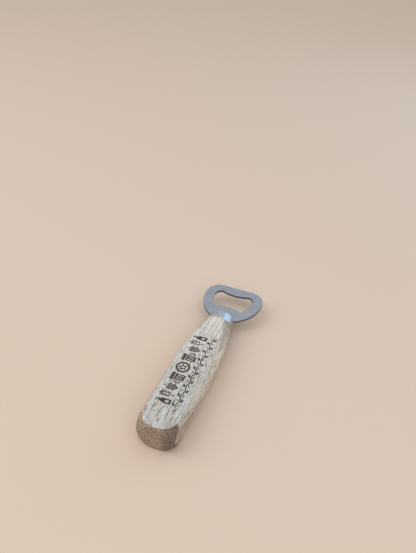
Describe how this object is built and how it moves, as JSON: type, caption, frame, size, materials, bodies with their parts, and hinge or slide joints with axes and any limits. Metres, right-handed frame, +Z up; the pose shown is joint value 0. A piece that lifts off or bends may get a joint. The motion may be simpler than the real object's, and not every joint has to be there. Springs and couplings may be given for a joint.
{
  "type": "bottle opener",
  "caption": "Bottle opener with a flat stamped steel head, a steel ferrule and a wooden handle that has four planed flats.",
  "frame": {"origin": "middle of the footprint on the surface that the opener lies on, under its lower flat", "axes": "+X from the butt along the handle to the head's tip, +Z up, square to the upper flat and to the head's plate, +Y to the left of +X"},
  "size_m": [0.145, 0.0424, 0.019],
  "materials": {
    "handle_wood": "open-pored, lightly sanded and unvarnished, with a burnt engraving",
    "ferrule_steel": "turned bright, with fine rings round it",
    "head_steel": "tumbled satin with small scuffs",
    "cured_adhesive": "cured and glossy, hidden in use"
  },
  "bodies": {
    "root": {"wooden_handle": "handle_wood", "ferrule": "ferrule_steel", "opener_head": "head_steel", "tang_adhesive": "cured_adhesive"}
  },
  "joints": []
}
